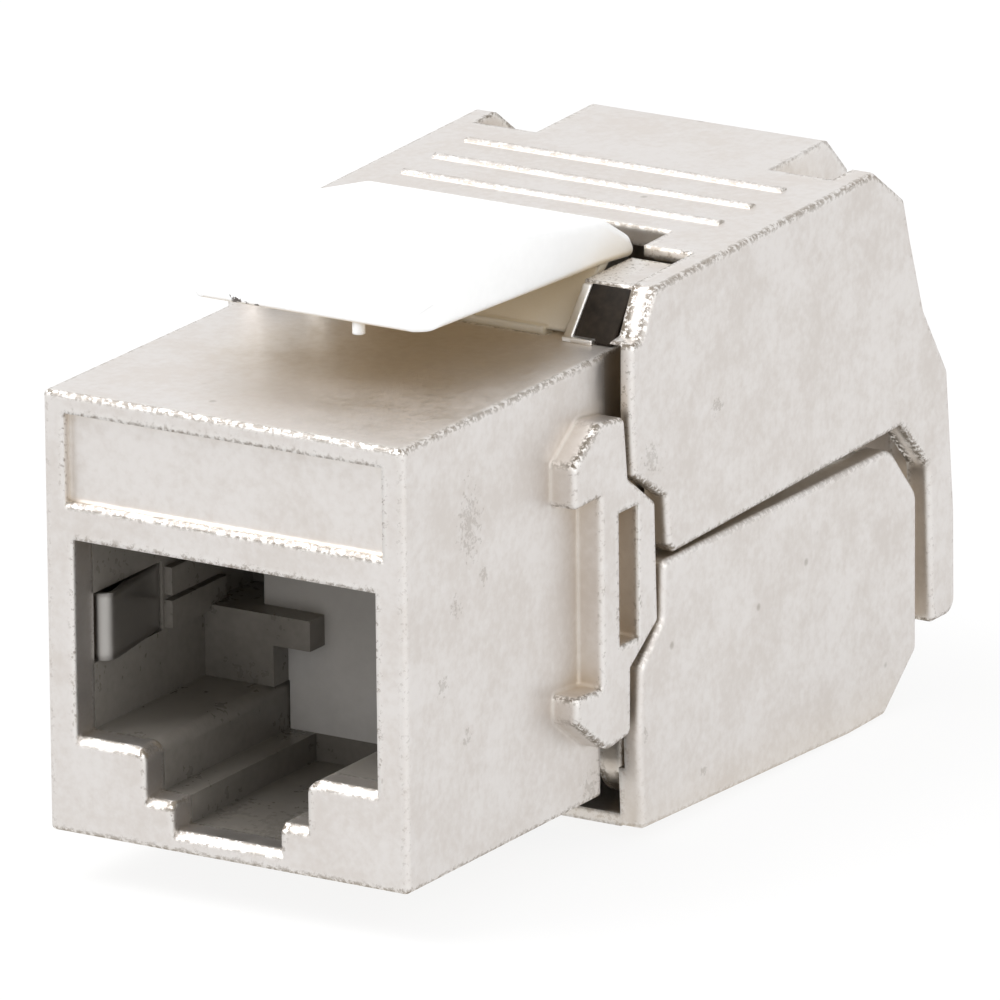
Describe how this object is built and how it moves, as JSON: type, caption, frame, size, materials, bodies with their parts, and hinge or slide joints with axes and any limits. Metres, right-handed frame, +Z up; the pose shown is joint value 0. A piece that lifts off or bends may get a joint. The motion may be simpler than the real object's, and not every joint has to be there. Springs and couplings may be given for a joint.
{
  "type": "shielded keystone jack",
  "caption": "Shielded network keystone jack: cast metal housing with a plug port and spring latch, and two hinged jaws that close around the cable.",
  "frame": {"origin": "under the middle of the closed jack, on the plane of the lower jaw's lowest line", "axes": "+Y from the plug face to the cable end, +X across the front to the right seen from the front, +Z up to the latch"},
  "size_m": [0.0164, 0.035, 0.0225],
  "materials": {
    "housing_metal": "satin nickel plate on a zinc die casting",
    "jaw_metal": "satin nickel plate on a zinc die casting",
    "latch_plastic": "glossy white moulding",
    "insert_plastic": "dark satin moulding",
    "carrier_plastic": "pale satin moulding",
    "spring_metal": "bright rolled sheet",
    "board_laminate": "green coated laminate",
    "block_plastic": "black moulding",
    "organizer_plastic": "white moulding",
    "contact_plate": "gold plate",
    "blade_metal": "tin plate"
  },
  "bodies": {
    "housing": {"front_housing": "housing_metal", "port_insert": "insert_plastic", "contact_carrier": "carrier_plastic", "ground_spring_left": "spring_metal", "ground_spring_right": "spring_metal", "circuit_board": "board_laminate", "terminal_block": "block_plastic", "wire_manager": "organizer_plastic", "contact_1": "contact_plate", "contact_2": "contact_plate", "contact_3": "contact_plate", "contact_4": "contact_plate", "contact_5": "contact_plate", "contact_6": "contact_plate", "contact_7": "contact_plate", "contact_8": "contact_plate", "idc_contact_1": "blade_metal", "idc_contact_2": "blade_metal", "idc_contact_3": "blade_metal", "idc_contact_4": "blade_metal", "idc_contact_5": "blade_metal", "idc_contact_6": "blade_metal", "idc_contact_7": "blade_metal", "idc_contact_8": "blade_metal"},
    "upper_jaw": {"upper_jaw": "jaw_metal"},
    "lower_jaw": {"lower_jaw": "jaw_metal"},
    "latch": {"latch": "latch_plastic"}
  },
  "joints": [
    {"name": "upper_jaw_hinge", "type": "hinge", "parent": "housing", "child": "upper_jaw", "pos_m": [0, -0.0009, 0.01741], "axis": [1, 0, 0], "range_deg": [0, 75]},
    {"name": "lower_jaw_hinge", "type": "hinge", "parent": "housing", "child": "lower_jaw", "pos_m": [0, -0.0019, 0.00261], "axis": [-1, 0, 0], "range_deg": [0, 75]},
    {"name": "latch_press", "type": "hinge", "parent": "housing", "child": "latch", "pos_m": [0, -0.0029, 0.01711], "axis": [1, 0, 0], "range_deg": [0, 10], "stiffness_Nm_per_rad": 0.1}
  ]
}
